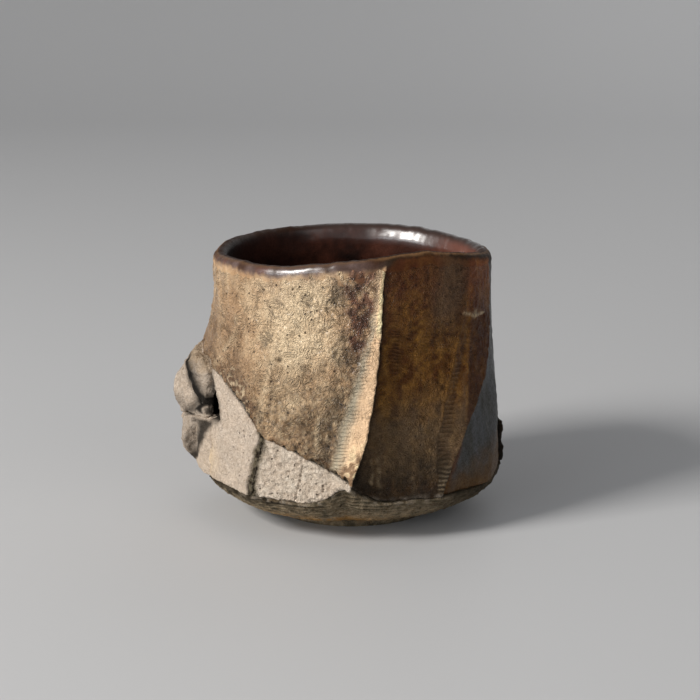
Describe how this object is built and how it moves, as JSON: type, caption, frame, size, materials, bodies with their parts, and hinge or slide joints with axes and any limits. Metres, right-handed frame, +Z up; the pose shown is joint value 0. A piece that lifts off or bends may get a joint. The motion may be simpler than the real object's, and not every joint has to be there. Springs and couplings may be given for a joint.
{
  "type": "sake cup",
  "caption": "Hand-built stoneware sake cup: turned liner wrapped in overlapping cut slabs, bare aprons, folded clay at its left and a turned foot.",
  "frame": {"origin": "on the liner's axis, in the plane of the foot ring that the cup stands on", "axes": "+Z up the axis of the cup, -Y out of its front, where the tall ridge is, +X to the right as seen from the front, so the folded clay is at -X"},
  "size_m": [0.0679, 0.0628, 0.0564],
  "materials": {
    "glaze_iron_red": "glossy iron-red glaze, darker inside",
    "glaze_ash_gold": "satin golden ash glaze with dark pits",
    "glaze_amber_brown": "semi-gloss amber-brown glaze, darker towards the base",
    "glaze_slate": "satin blue-grey glaze",
    "bare_clay": "matt unglazed stoneware, gritty",
    "turned_clay": "matt dark turned stoneware with fine tool rings"
  },
  "bodies": {
    "root": {"liner_cup": "glaze_iron_red", "front_left_slab": "glaze_ash_gold", "front_right_slab": "glaze_amber_brown", "right_slab": "glaze_slate", "back_right_slab": "glaze_amber_brown", "back_left_slab": "glaze_ash_gold", "left_apron": "bare_clay", "front_apron": "bare_clay", "turned_base": "turned_clay", "fold_outer": "bare_clay", "fold_tongue": "bare_clay", "fold_lower": "bare_clay"}
  },
  "joints": []
}
